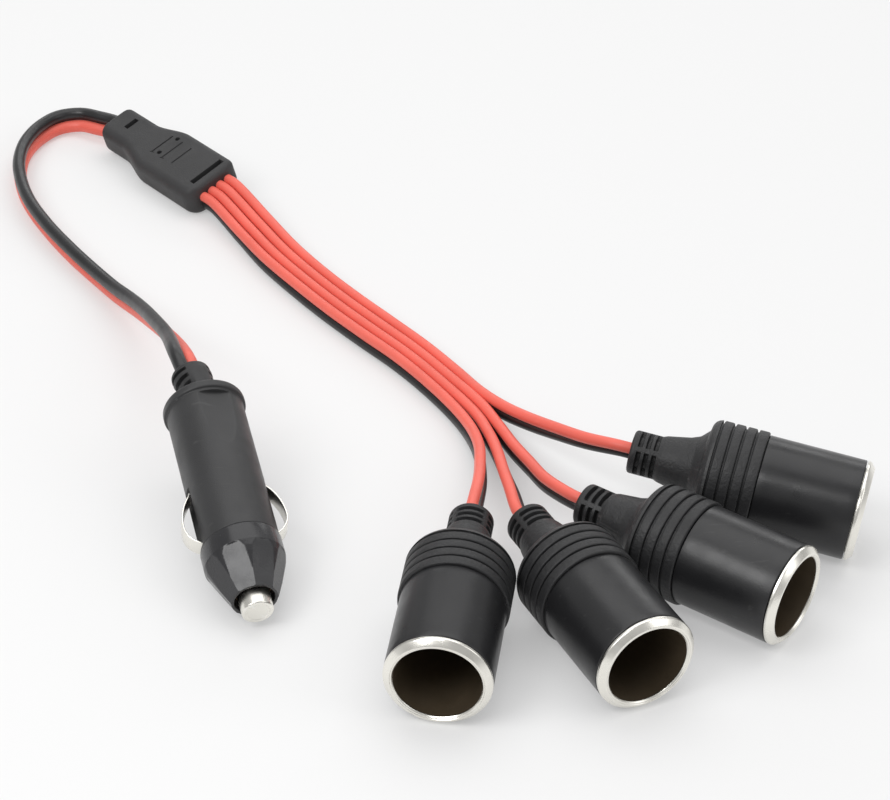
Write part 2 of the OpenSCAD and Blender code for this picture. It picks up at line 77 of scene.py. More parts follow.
def block_frame():
    a = np.array([math.cos(rad(BLOCK_YAW)), math.sin(rad(BLOCK_YAW)), 0])
    c = np.array([-math.sin(rad(BLOCK_YAW)) * math.cos(rad(BLOCK_ROLL)), math.cos(rad(BLOCK_YAW)) * math.cos(rad(BLOCK_ROLL)), math.sin(rad(BLOCK_ROLL))])
    m = np.eye(4)
    m[:3, 0], m[:3, 1], m[:3, 2], m[:3, 3] = a, c, np.cross(a, c), BLOCK_AT + SHIFT
    return m


M_SOCK = [lying((x, y, z), yaw, tilt) for x, y, yaw, _, tilt, z in SOCK]
M_PLUG = lying(PLUG_AT, PLUG_YAW, PLUG_TILT)
M_BLOCK = block_frame()


def put(m, p):
    p = np.asarray(p, float)
    return (p @ m[:3, :3].T + m[:3, 3]) * MM


# ------------------------------------------------------------------ camera
ELEV, ROLL, FOCAL, DIST = 34.0, 2.4, 2626.0, 743.0
fwd = np.array([0, math.cos(rad(ELEV)), -math.sin(rad(ELEV))])
up = np.array([0, math.sin(rad(ELEV)), math.cos(rad(ELEV))])
right = np.array([1.0, 0, 0])
cx = math.cos(rad(ROLL)) * right + math.sin(rad(ROLL)) * up
cy = -math.sin(rad(ROLL)) * right + math.cos(rad(ROLL)) * up
eye = (-fwd * DIST + SHIFT) * MM
cam_data = bpy.data.cameras.new("camera")
cam_data.sensor_fit = "HORIZONTAL"
cam_data.sensor_width = 36
cam_data.lens = FOCAL / 890 * 36
cam_data.clip_start, cam_data.clip_end = 0.05, 20
camera = bpy.data.objects.new("camera", cam_data)
bpy.context.scene.collection.objects.link(camera)
camera.matrix_world = Matrix([[cx[k], cy[k], -fwd[k], eye[k]] for k in range(3)] + [[0, 0, 0, 1]])
bpy.context.scene.camera = camera


# ------------------------------------------------------------------ materials
def material(name, base, rough, metallic=0.0, spec=0.5, coat=0.0, coat_rough=0.2, tint=0.12, tint_scale=60, rough_var=0.08,
             grain_scale=2500, grain=0.08, lumps_scale=220, lumps=0.05, wear=None, wear_amount=0.3, sheen=0.0, brushed=None, wisps=0.0):
    m = bpy.data.materials.new(name)
    m.use_nodes = True
    nt = m.node_tree
    nt.nodes.clear()
    N, L = nt.nodes.new, nt.links.new
    out = N("ShaderNodeOutputMaterial")
    b = N("ShaderNodeBsdfPrincipled")
    L(b.outputs["BSDF"], out.inputs["Surface"])
    b.inputs["Metallic"].default_value = metallic
    b.inputs["Specular IOR Level"].default_value = spec
    b.inputs["Coat Weight"].default_value = coat
    b.inputs["Coat Roughness"].default_value = coat_rough
    b.inputs["Sheen Weight"].default_value = sheen
    b.inputs["Base Color"].default_value = (*base, 1)
    b.inputs["Roughness"].default_value = rough
    tc = N("ShaderNodeTexCoord")
    co = tc.outputs["Object"]
    # colour that drifts a little over the moulding
    n1 = N("ShaderNodeTexNoise")
    n1.inputs["Scale"].default_value = tint_scale
    n1.inputs["Detail"].default_value = 5
    L(co, n1.inputs["Vector"])
    ramp = N("ShaderNodeMapRange")
    ramp.inputs["From Min"].default_value = 0.3
    ramp.inputs["From Max"].default_value = 0.7
    ramp.inputs["To Min"].default_value = 1 - tint
    ramp.inputs["To Max"].default_value = 1 + tint
    L(n1.outputs["Fac"], ramp.inputs["Value"])
    mul = N("ShaderNodeVectorMath")
    mul.operation = "SCALE"
    mul.inputs[0].default_value = base
    L(ramp.outputs["Result"], mul.inputs["Scale"])
    colour = mul.outputs["Vector"]
    if wear is not None:
        geo = N("ShaderNodeNewGeometry")
        edge = N("ShaderNodeMapRange")
        edge.inputs["From Min"].default_value = 0.51
        edge.inputs["From Max"].default_value = 0.6
        edge.inputs["To Min"].default_value = 0
        edge.inputs["To Max"].default_value = wear_amount
        L(geo.outputs["Pointiness"], edge.inputs["Value"])
        mix = N("ShaderNodeMix")
        mix.data_type = "RGBA"
        mix.inputs[7].default_value = (*wear, 1)
        L(edge.outputs["Result"], mix.inputs[0])
        L(colour, mix.inputs[6])
        colour = mix.outputs[2]
    if wisps:
        # faint rubbed haze and scratches
        w1 = N("ShaderNodeTexNoise")
        w1.inputs["Scale"].default_value = 900
        w1.inputs["Detail"].default_value = 3
        st = N("ShaderNodeMapping")
        st.inputs["Scale"].default_value = (0.08, 1, 0.6)
        st.inputs["Rotation"].default_value = (0.3, 0.2, 0.7)
        L(co, st.inputs["Vector"])
        L(st.outputs["Vector"], w1.inputs["Vector"])
        wr = N("ShaderNodeMapRange")
        wr.inputs["From Min"].default_value = 0.66
        wr.inputs["From Max"].default_value = 0.78
        wr.inputs["To Min"].default_value = 0
        wr.inputs["To Max"].default_value = wisps
        L(w1.outputs["Fac"], wr.inputs["Value"])
        mix2 = N("ShaderNodeMix")
        mix2.data_type = "RGBA"
        mix2.inputs[7].default_value = (0.45, 0.45, 0.44, 1)
        L(wr.outputs["Result"], mix2.inputs[0])
        L(colour, mix2.inputs[6])
        colour = mix2.outputs[2]
    L(colour, b.inputs["Base Color"])
    # roughness that varies
    n2 = N("ShaderNodeTexNoise")
    n2.inputs["Scale"].default_value = tint_scale * 3
    n2.inputs["Detail"].default_value = 4
    L(co, n2.inputs["Vector"])
    rr = N("ShaderNodeMapRange")
    rr.inputs["From Min"].default_value = 0.3
    rr.inputs["From Max"].default_value = 0.7
    rr.inputs["To Min"].default_value = max(0.02, rough - rough_var)
    rr.inputs["To Max"].default_value = min(1, rough + rough_var)
    L(n2.outputs["Fac"], rr.inputs["Value"])
    L(rr.outputs["Result"], b.inputs["Roughness"])
    # moulded lumps and fine grain
    n3 = N("ShaderNodeTexNoise")
    n3.inputs["Scale"].default_value = lumps_scale
    n3.inputs["Detail"].default_value = 3
    L(co, n3.inputs["Vector"])
    n4 = N("ShaderNodeTexNoise" if brushed is None else "ShaderNodeTexWave")
    n4.inputs["Scale"].default_value = grain_scale
    n4.inputs["Detail"].default_value = 2
    if brushed is None:
        L(co, n4.inputs["Vector"])
        fine = n4.outputs["Fac"]
    else:
        n4.inputs["Distortion"].default_value = 2
        mp = N("ShaderNodeMapping")
        mp.inputs["Rotation"].default_value = brushed
        L(co, mp.inputs["Vector"])
        L(mp.outputs["Vector"], n4.inputs["Vector"])
        fine = n4.outputs["Fac"]
    b1 = N("ShaderNodeBump")
    b1.inputs["Strength"].default_value = lumps
    b1.inputs["Distance"].default_value = 0.0006
    L(n3.outputs["Fac"], b1.inputs["Height"])
    b2 = N("ShaderNodeBump")
    b2.inputs["Strength"].default_value = grain
    b2.inputs["Distance"].default_value = 0.00008
    L(fine, b2.inputs["Height"])
    L(b1.outputs["Normal"], b2.inputs["Normal"])
    L(b2.outputs["Normal"], b.inputs["Normal"])
    return m


MAT = {
    "barrel": material("barrel_plastic", (0.013, 0.013, 0.014), 0.32, spec=0.47, tint=0.1, lumps=0.12, lumps_scale=130, grain=0.25, grain_scale=3200, rough_var=0.05, wisps=0.04),
    "grip": material("grip_plastic", (0.019, 0.019, 0.02), 0.5, spec=0.42, tint=0.14, grain=1.0, grain_scale=2300, lumps=0.3, lumps_scale=900, rough_var=0.06, wear=(0.10, 0.10, 0.10), wear_amount=0.3),
    "handle": material("handle_plastic", (0.028, 0.028, 0.029), 0.42, spec=0.45, tint=0.1, grain=0.6, grain_scale=3800, lumps=0.12, rough_var=0.06, wear=(0.10, 0.10, 0.10), wear_amount=0.3, wisps=0.04),
    "cap": material("cap_plastic", (0.02, 0.02, 0.022), 0.26, spec=0.5, tint=0.1, grain=0.3, lumps=0.1, wear=(0.10, 0.10, 0.10), wear_amount=0.3),
    "block": material("block_pvc", (0.034, 0.034, 0.035), 0.55, spec=0.4, tint=0.1, grain=1.0, grain_scale=2600, lumps=0.2, rough_var=0.06),
    "boot": material("boot_pvc", (0.022, 0.022, 0.023), 0.45, spec=0.42, tint=0.1, grain=0.5, lumps=0.2, wear=(0.10, 0.10, 0.10), wear_amount=0.3),
    "red": material("red_wire", (0.8, 0.145, 0.107), 0.42, spec=0.35, tint=0.06, lumps=0.25, lumps_scale=160, grain=0.25, rough_var=0.06),
    "black": material("black_wire", (0.014, 0.014, 0.015), 0.34, spec=0.5, tint=0.1, lumps=0.25, lumps_scale=160, grain=0.25, rough_var=0.06),
    "nickel": material("nickel_plate", (0.85, 0.83, 0.77), 0.28, metallic=1.0, tint=0.05, lumps=0.05, lumps_scale=400, grain=0.12, rough_var=0.06, wear=(0.93, 0.92, 0.9), wear_amount=0.4),
    "bore": material("bore_wall", (0.08, 0.06, 0.038), 0.45, metallic=0.2, spec=0.4, tint=0.25, lumps=0.15, grain=0.3, rough_var=0.1),
    "fibre": material("fibre_board", (0.10, 0.065, 0.04), 0.8, tint=0.3, lumps=0.3, lumps_scale=900, grain=1.0),
    "brass": material("brass_contact", (0.72, 0.5, 0.22), 0.35, metallic=1.0, tint=0.1, lumps=0.1, grain=0.2, rough_var=0.1),
    "steel": material("spring_steel", (0.56, 0.56, 0.55), 0.3, metallic=1.0, tint=0.08, lumps=0.05, grain=0.2),
}


def glass_material():
    m = bpy.data.materials.new("fuse_glass_tube")
    m.use_nodes = True
    nt = m.node_tree
    b = nt.nodes["Principled BSDF"]
    b.inputs["Base Color"].default_value = (0.92, 0.96, 0.95, 1)
    b.inputs["Roughness"].default_value = 0.04
    b.inputs["Transmission Weight"].default_value = 0.9
    b.inputs["IOR"].default_value = 1.5
    tc = nt.nodes.new("ShaderNodeTexCoord")
    n = nt.nodes.new("ShaderNodeTexNoise")
    n.inputs["Scale"].default_value = 300
    bp = nt.nodes.new("ShaderNodeBump")
    bp.inputs["Strength"].default_value = 0.05
    bp.inputs["Distance"].default_value = 0.0002
    nt.links.new(tc.outputs["Object"], n.inputs["Vector"])
    nt.links.new(n.outputs["Fac"], bp.inputs["Height"])
    nt.links.new(bp.outputs["Normal"], b.inputs["Normal"])
    return m


MAT["glass"] = glass_material()


# ------------------------------------------------------------------ mesh helpers
def make(name, verts_m, faces, mats, index=None, sharp=38.0):
    me = bpy.data.meshes.new(name)
    me.from_pydata([tuple(map(float, v)) for v in verts_m], [], [tuple(map(int, f)) for f in faces])
    for k in mats:
        me.materials.append(MAT[k])
    me.polygons.foreach_set("use_smooth", [True] * len(me.polygons))
    if index is not None:
        me.polygons.foreach_set("material_index", [int(i) for i in index])
    me.update()
    if sharp:
        me.set_sharp_from_angle(angle=rad(sharp))
    o = bpy.data.objects.new(name, me)
    bpy.context.scene.collection.objects.link(o)
    return o


def own(o, body, slot, *cad):
    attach(o, body)
    if cad:
        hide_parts(*cad)
    return o


def fillet(pts, n=4, closed=False):
    """Polyline through (z, r, radius) corners, each corner rounded by its own radius."""
    out = []
    m = len(pts)
    for i, (z, r, q) in enumerate(pts):
        p = np.array([z, r], float)
        if q <= 0 or (not closed and i in (0, m - 1)):
            out.append(p)
            continue
        a = np.array(pts[(i - 1) % m][:2], float) - p
        b = np.array(pts[(i + 1) % m][:2], float) - p
        la, lb = np.linalg.norm(a), np.linalg.norm(b)
        a, b = a / la, b / lb
        cosg = float(np.clip(a @ b, -1, 1))
        half = math.acos(cosg) / 2
        t = min(q / math.tan(half), 0.49 * la, 0.49 * lb)
        q2 = t * math.tan(half)
        c = p + (a + b) / np.linalg.norm(a + b) * (q2 / math.sin(half))
        s, e = p + a * t - c, p + b * t - c
        ang = math.atan2(s[0] * e[1] - s[1] * e[0], s @ e)
        for k in range(n + 1):
            w = ang * k / n
            out.append(c + np.array([s[0] * math.cos(w) - s[1] * math.sin(w), s[0] * math.sin(w) + s[1] * math.cos(w)]))
    return out


def densify(line, step):
    out = [np.asarray(line[0], float)]
    for a, b in zip(line[:-1], line[1:]):
        a, b = np.asarray(a, float), np.asarray(b, float)
        k = max(1, int(math.ceil(np.linalg.norm(b - a) / step)))
        for j in range(1, k + 1):
            out.append(a + (b - a) * j / k)
    return out


def turned(name, line, m, mats, seg=96, shape=None, index=None, closed=False, sharp=38.0, flip=False, warp=None):
    """A surface turned about the piece's z from the (z, r) line; shape(theta, z, r, k) may change each radius."""
    line = [np.asarray(p, float) for p in line]
    th = np.arange(seg) * 2 * math.pi / seg
    verts, rings = [], []
    for k, (z, r) in enumerate(line):
        if r < 1e-6 and not closed:
            rings.append([len(verts)])
            verts.append((0, 0, z))
            continue
        rr = np.full(seg, r) if shape is None else shape(th, z, r, k)
        rings.append(list(range(len(verts), len(verts) + seg)))
        verts += list(zip(rr * np.cos(th), rr * np.sin(th), np.full(seg, z)))
    faces, mi = [], []
    pairs = [(k, k + 1) for k in range(len(line) - 1)] + ([(len(line) - 1, 0)] if closed else [])
    for k, k2 in pairs:
        a, b = rings[k], rings[k2]
        for j in range(seg):
            j2 = (j + 1) % seg
            if len(a) == 1 and len(b) == 1:
                continue
            if len(a) == 1:
                f = (a[0], b[j2], b[j])
            elif len(b) == 1:
                f = (a[j], a[j2], b[0])
            else:
                f = (a[j], a[j2], b[j2], b[j])
            faces.append(f[::-1] if flip else f)
            mi.append(0 if index is None else index(line[k], line[k2], k))
    if warp is not None:
        verts = warp(np.array(verts, float))
    return make(name, put(m, verts), faces, mats, mi if index is not None else None, sharp)


# ------------------------------------------------------------------ the leads, on the CAD's route
def unit(v):
    return v / np.linalg.norm(v)


def right_of(t):
    return unit(np.array([t[1], -t[0], 0]))


def block_pt(s, c, n):
    return M_BLOCK[:3, :3] @ np.array([s, c, n]) + BLOCK_AT


def boot_pt(l):
    b = rad(BOOT_BEND)
    return PLUG_AT + BEND_Z * heading(PLUG_YAW, PLUG_TILT) - l * (math.cos(b) * heading(PLUG_YAW, PLUG_TILT) + math.sin(b) * M_PLUG[:3, 1])


def tangent(p, i):
    n = len(p) - 1
    if i == 0:
        return unit(p[1][:3] - p[0][:3])
    if i == n:
        return unit(p[n][:3] - p[n - 1][:3])
    return unit(unit(p[i + 1][:3] - p[i][:3]) + unit(p[i][:3] - p[i - 1][:3]))


RIBBON = [np.array(q, float) for q in [(-60.9, 83.6, 4.3, 12, 0.1), (-52, 69.2, 3.5, 4, 0.25), (-42.2, 55.6, 3.2, 0, 0.25), (-31.4, 41.8, 3.2, 0, 0.3),
          (-20.8, 29.4, 3.2, 0, 0.3), (-10.1, 17, 3.2, 0, 0.15), (-0.9, 4.6, 3.2, 0, 0.1)]]
FAN = [
    [(3, -11.2, 3.3, -2), (7.4, -22, 4.4, -4), (9.7, -34, 7, 0), (10.2, -47, 10.4, 8), (10, -58.6, 13.6, 13)],
    [(8.7, -13.3, 3.3, 2), (12.7, -25.5, 5, 6), (15, -37, 7.5, 12), (16.6, -48.4, 10.2, 20), (18.3, -59.1, 12.6, 28)],
    [(10.2, -8.8, 3.5, 0), (15.3, -20.5, 4.5, 4), (19.3, -32.2, 6.6, 7), (23.5, -44.2, 9.6, 9), (27.6, -55.4, 12.4, 11)],
    [(9.6, -2, 3.5, 0), (16.2, -11.3, 5.2, 9), (23, -20.9, 8.3, 16), (30.4, -31.3, 12.5, 22), (38.5, -41.3, 16.6, 28)],
]
PLUG_ROUTE = [(-117.2, 145.3, 5.6, 28), (-123.6, 148.6, 4.8, 28), (-130.4, 147, 4.3, 20), (-135.5, 140, 4.1, 12), (-138.6, 129, 4.1, 5),
              (-138.5, 116, 4.1, 4), (-135.6, 103.7, 4.1, 7), (-131, 92.1, 4.05, 14), (-123.1, 77.8, 4, 17), (-114.5, 64.8, 3.95, 16),
              (-105.9, 52.9, 4.2, 18), (-98.2, 41.3, 5.6, 18), (-90.2, 27.2, 9.6, 19), (-82.4, 9, 16, 28), (-75.9, -8, 21.8, 40)]


def beside(i):
    out = []
    for k, q in enumerate(RIBBON):
        r = right_of(tangent(RIBBON, k))
        p = q[:3] - (i - 1.5) * (PITCH + q[4]) * r
        p[2] += (i - 1.5) * 0.5 if k == 0 else (i - 1.5) * 0.15 if k == 1 else 0
        out.append(np.array([*p, q[3]]))
    return out


def socket_route(i):
    pts = [np.array([*block_pt(s, WIRE_C + (i - 1.5) * PITCH, WIRE_N), BLOCK_ROLL]) for s in (S0 + BLOCK_L, S0 + BLOCK_L + 4)]
    pts += beside(i) + [np.array(q, float) for q in FAN[i]]
    x, y, yaw, roll, tilt, z = SOCK[i]
    pts += [np.array([*(np.array([x, y, z]) + s * heading(yaw, tilt)), roll]) for s in (-SOCK_LEN - 3, -SOCK_LEN)]
    return pts


def plug_route():
    pts = [np.array([*block_pt(s, WIRE_C, WIRE_N), 22.0]) for s in (S0, S0 - 4)]
    pts[1][2] -= 0.7
    pts += [np.array(q, float) for q in PLUG_ROUTE]
    return pts + [np.array([*boot_pt(l), PLUG_ROLL]) for l in (BOOT_OUT + 6, BOOT_OUT)]


def smooth_path(pts, step=1.6):
    """Centripetal curve through the route's points."""
    p = [2 * pts[0] - pts[1]] + list(pts) + [2 * pts[-1] - pts[-2]]
    out = []
    for i in range(1, len(p) - 2):
        p0, p1, p2, p3 = p[i - 1:i + 3]
        t0 = 0
        t1 = t0 + np.linalg.norm(p1[:3] - p0[:3]) ** 0.5
        t2 = t1 + np.linalg.norm(p2[:3] - p1[:3]) ** 0.5
        t3 = t2 + np.linalg.norm(p3[:3] - p2[:3]) ** 0.5
        k = max(2, int(round(np.linalg.norm(p2[:3] - p1[:3]) / step)))
        for j in range(k):
            t = t1 + (t2 - t1) * j / k
            a1 = (t1 - t) / (t1 - t0) * p0 + (t - t0) / (t1 - t0) * p1
            a2 = (t2 - t) / (t2 - t1) * p1 + (t - t1) / (t2 - t1) * p2
            a3 = (t3 - t) / (t3 - t2) * p2 + (t - t2) / (t3 - t2) * p3
            b1 = (t2 - t) / (t2 - t0) * a1 + (t - t0) / (t2 - t0) * a2
            b2 = (t3 - t) / (t3 - t1) * a2 + (t - t1) / (t3 - t1) * a3
            out.append((t2 - t) / (t2 - t1) * b1 + (t - t1) / (t2 - t1) * b2)
    out.append(p[-2])
    return out


def eight(r, n=16):
    top = [(r * math.cos(rad(a)), r + r * math.sin(rad(a))) for a in np.linspace(-76, 256, n)]
    return top + [(-x, -y) for x, y in top]


def twin_lead(name, pts, r, upper, lower, cad):
    path = smooth_path(pts)
    sec = eight(r)
    n = len(sec)
    verts, centres, length = [], [], 0.0
    floor = 0.05
    for i, q in enumerate(path):
        t = tangent(path, i)
        w0 = np.array([0, 0, math.cos(rad(q[3]))]) + math.sin(rad(q[3])) * right_of(t)
        w = unit(w0 - (w0 @ t) * t)
        nn = np.cross(t, w)
        c = q[:3] + SHIFT
        low = min(c[2] + a * nn[2] + b * w[2] for a, b in sec)
        if low < floor:
            c = c + np.array([0, 0, floor - low])
        centres.append(c)
        verts += [(c + a * nn + b * w) * MM for a, b in sec]
    m = len(path)
    faces = [tuple(range(n))[::-1], tuple((m - 1) * n + k for k in range(n))]
    mi = [0, 0]
    for i in range(m - 1):
        for k in range(n):
            k2 = (k + 1) % n
            faces.append((i * n + k, i * n + k2, (i + 1) * n + k2, (i + 1) * n + k))
            mi.append(0 if k < n // 2 else 1)
    faces = [f[::-1] for f in faces]
    o = make(name, verts, faces, [upper, lower], mi, sharp=60)
    cl = [c * MM for c in centres]
    length = sum(float(np.linalg.norm(b - a)) for a, b in zip(cl[:-1], cl[1:]))
    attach(o, ROOT)
    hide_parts(cad)
    return o


for i in range(4):
    twin_lead(f"twin_lead_{i + 1}", socket_route(i), WIRE_R, "red", "black", f"lead_{i + 1}")
twin_lead("twin_lead_plug", plug_route(), MAIN_R, "black", "red", "plug_lead")


# ------------------------------------------------------------------ sockets
def socket(i):
    n = i + 1
    m = M_SOCK[i]
    # rim and tube of the plated shell, one closed turning
    rim = fillet([(-36.5, 10.45, 0), (-33.8, 10.45, 0.1), (-33.8, 10.75, 0.1), (1.3, 10.75, 0), (1.55, 10.75, 0.1), (1.95, 11.05, 0.12), (1.95, 11.35, 0.08), (2.1, 11.45, 0.08),
                  (2.1, 11.85, 0.4), (0.75, 13.3, 0.6), (0.0, 13.3, 0.12), (0.0, 11.35, 0.05), (-38, 11.35, 0.1), (-38, 8, 0.1), (-37.4, 8, 0.1), (-37.4, 10.45, 0)], n=4)
    line = densify(rim, 2.5)
    own(turned(f"rim_{n}", line, m, ["nickel", "bore"], seg=128, closed=True, flip=False,
               index=lambda a, b, k: 1 if (a[1] < 10.9 and b[1] < 10.9 and max(a[0], b[0]) < 1.32) else 0), ROOT, "nickel", f"socket_{n}_shell")
    cov = fillet([(-38.1, 11.4, 0), (-0.25, 11.4, 0.05), (-0.25, 13.3, 0.35), (-26.1, 13.3, 0.15), (-26.1, 12.2, 0.1), (-39.4, 12.2, 0.1), (-39.4, 9, 0.1), (-38.1, 9, 0)], n=4)
    own(turned(f"barrel_{n}", densify(cov, 2.0), m, ["barrel"], seg=128, closed=True), ROOT, "cover_plastic", f"socket_{n}_cover")

    g, f = -26.3, -40.2
    pts = [(f + 0.7, 8.6, 0.2), (f + 0.7, 12.25, 0.1), (g, 12.25, 0.1), (g, GRIP_R, 0.45)]
    for k in range(1, 5):
        z = g - k * 3.1
        pts += [(z + 0.32, GRIP_R, 0.38), (z + 0.24, GRIP_R - 0.75, 0.12), (z - 0.24, GRIP_R - 0.75, 0.12), (z - 0.32, GRIP_R, 0.38)]
    pts += [(f + 1.2, GRIP_R, 1.2), (f + 0.4, GRIP_R - 0.25, 0.9), (f - 0.4, GRIP_R - 0.8, 0.8), (f - 0.9, GRIP_R - 1.6, 0.6), (f - 1.25, 10.6, 0.5), (f - 3.4, 8.4, 2.5), (f - 5.8, 7.45, 3.0), (f - 11.8, 6.25, 1.2), (f - 12.9, RELIEF_R, 0.5),
            (-SOCK_LEN, RELIEF_R, 0.9), (-SOCK_LEN, 0, 0)]
    outer = fillet(pts, n=5)
    # extra rings along the slotted end
    line = []
    for a, b in zip(outer[:-1], outer[1:]):
        line.append(a)
        if a[0] < f - 12 and b[0] > -SOCK_LEN - 0.5 and abs(a[1] - RELIEF_R) < 0.3 and abs(b[0] - a[0]) > 1:
            k = int(abs(b[0] - a[0]) / 0.11)
            line += [a + (b - a) * j / k for j in range(1, k)]
    line.append(outer[-1])
    line.append(np.array([-SOCK_LEN + 1.5, 0.0]))

    def slots(th, z, r, k):
        if r < 4.6 or z > f - 12.6 or z < -SOCK_LEN + 1.0:
            return np.full(len(th), r)
        d = 0
        for q in range(3):
            c = -SOCK_LEN + 2.45 + q * 2.1
            e = abs(z - c)
            d = max(d, 1 - min(1, max(0, (e - 0.42) / 0.16)))
        a = np.abs((np.degrees(th) + 45) % 90 - 45)
        side = 1 - np.clip((a - 35) / 3.5, 0, 1)
        return r - 1.5 * d * side * side * (3 - 2 * side)

    line2 = line[:-2] + [np.array([-SOCK_LEN, 3.2]), np.array([-SOCK_LEN, 0.0])]
    own(turned(f"boot_{n}", line2, m, ["grip"], seg=192, shape=slots, sharp=50), ROOT, "grip_pvc", f"socket_{n}_boot")


for i in range(4):
    socket(i)

# ------------------------------------------------------------------ plug


def clear_line(line, keep):
    return [p for p in line if keep(p)]


def handle():
    r = 10.3
    pts = fillet([(1, 3.6, 0), (1, 7.92, 0.3), (-5.2, 7.92, 0.1), (-5.2, r, 0.25), (-51.3, r, 0.35), (-51.5, 11, 0.8), (-54.1, 11, 1.1), (-54.1, 4.6, 0)], n=5)
    line = []
    for a, b in zip(pts[:-1], pts[1:]):
        line.append(a)
        if abs(b[0] - a[0]) > 2 and a[1] > 9 and b[1] > 9:
            k = int(abs(b[0] - a[0]) / 0.2)
            line += [a + (b - a) * j / k for j in range(1, k)]
    line.append(pts[-1])

    def shape(th, z, rad0, k):
        rr = np.full(len(th), rad0)
        if rad0 < 9:
            return rr
        # thumb flat on the top
        if -50.6 < z < -32:
            u = (-32 - z) / 18.6
            depth = 1.05 * (1 - (1 - u) ** 2.2)
            lim = r - depth
            c = -np.cos(th + rad(11))
            hit = c > 1e-3
            rr = np.where(hit, np.minimum(rr, lim / np.maximum(c, 1e-3)), rr)
        # pockets of the side contacts
        if -24.6 < z < -5.7:
            e = 1 - min(1, max(0, (abs(z + 15.15) - 9.15) / 0.25))
            for mid in (90, 270):
                a = np.abs((np.degrees(th) - mid + 180) % 360 - 180)
                s = 1 - np.clip((a - 15.8) / 1.6, 0, 1)
                rr = rr - 5.3 * s * e
        return rr

    own(turned("handle", line, M_PLUG, ["handle"], seg=256, shape=shape, sharp=45), ROOT, "grip_pvc", "plug_body")


def plug_boot():
    z = -PLUG_LEN
    e = BEND_Z - BOOT_OUT
    pts = fillet([(z + 1, 4.5, 0), (z - 0.05, 4.6, 0), (z - 0.05, 6.2, 0.2), (z - 1.0, 5.6, 0.4), (e + 2.6, 5.5, 1.0), (e, 5.2, 1.1), (e, 0, 0)], n=5)
    line = []
    for a, b in zip(pts[:-1], pts[1:]):
        line.append(a)
        if abs(b[0] - a[0]) > 1 and a[1] > 4.8 and b[1] > 4.8:
            k = int(abs(b[0] - a[0]) / 0.12)
            line += [a + (b - a) * j / k for j in range(1, k)]
    line.append(pts[-1])

    def shape(th, zz, r, k):
        if r < 4.9:
            return np.full(len(th), r)
        d = 0
        for q in range(4):
            c = e + 2.15 + q * 2.3
            d = max(d, 1 - min(1, max(0, (abs(zz - c) - 0.42) / 0.16)))
        # the slots run round the left flank, shorter ones round the right, with a plain bridge along the top
        deg = np.degrees(th)
        lf = np.abs((deg - 268 + 180) % 360 - 180)
        rt = np.abs((deg - 84 + 180) % 360 - 180)
        side = np.maximum(1 - np.clip((lf - 62) / 5, 0, 1), 1 - np.clip((rt - 46) / 5, 0, 1))
        # slimmer at the sides towards the flange
        k = smoothstep((zz - e - 1.5) / 7.0) * (1 - smoothstep((zz - BEND_Z - 0.2) / 0.8))
        slim = k * (1.5 * (1 - np.clip((lf - 30) / 50, 0, 1)) + 0.6 * (1 - np.clip((rt - 30) / 40, 0, 1)))
        return r - slim - 1.35 * d * side

    def warp(v):
        # bend about the point just behind the flange
        t = np.clip((BEND_Z + 0.8 - v[:, 2]) / 1.6, 0, 1)
        a = -np.radians(BOOT_BEND) * t
        y, q = v[:, 1].copy(), v[:, 2] - BEND_Z
        v[:, 1] = y * np.cos(a) - q * np.sin(a)
        v[:, 2] = y * np.sin(a) + q * np.cos(a) + BEND_Z
        return v

    own(turned("handle_boot", line, M_PLUG, ["boot"], seg=144, shape=shape, sharp=50, warp=warp), ROOT, "boot_pvc", "plug_boot")


def cap():
    pts = fillet([(2, 8, 0), (-5.1, 8, 0.05), (-5.1, 10.5, 0.3), (0.1, 10.5, 0.6), (1.8, 10.1, 1.0), (9.9, 7.05, 0.8), (11.7, 6.15, 0.5), (11.7, 5.2, 0.25), (8.1, 5.2, 0.05), (8.1, 6, 0), (2, 6, 0)], n=5)
    line = []
    for a, b in zip(pts, pts[1:] + pts[:1]):
        line.append(a)
        if np.linalg.norm(b - a) > 0.5 and a[1] > 6 and b[1] > 6 and a[0] > -0.5 and b[0] > -0.5 and not (a[1] < 8.1 and a[0] < 9):
            k = int(np.linalg.norm(b - a) / 0.18)
            line += [a + (b - a) * j / k for j in range(1, k)]

    def shape(th, z, r, k):
        rr = np.full(len(th), r)
        if z < 0.3 or r < 6.01 or (abs(r - 8) < 1e-6 and z <= 2.001):
            return rr
        p = 10.15 - (z - 0.6) * math.tan(rad(22))
        a = (np.degrees(th) - 22.5 + 22.5) % 45 - 22.5
        flat = p / np.cos(np.radians(a))
        return np.minimum(rr, np.maximum(flat, 5.4))

    own(turned("screw_cap", line, M_PLUG, ["cap"], seg=256, shape=shape, closed=True, sharp=30), "cap", "cover_plastic", "nose_cap")


def tip():
    pts = fillet([(4.5, 0, 0), (4.5, 5.6, 0.1), (6.7, 5.6, 0.1), (6.7, 4.1, 0.05), (15.7, 4.1, 0.45), (15.7, 3.1, 0.1), (15.55, 2.9, 0.1), (15.55, 0, 0)], n=6)
    own(turned("tip_button", densify(pts, 1.5), M_PLUG, ["nickel"], seg=96, sharp=40), "tip", "nickel", "tip_contact")


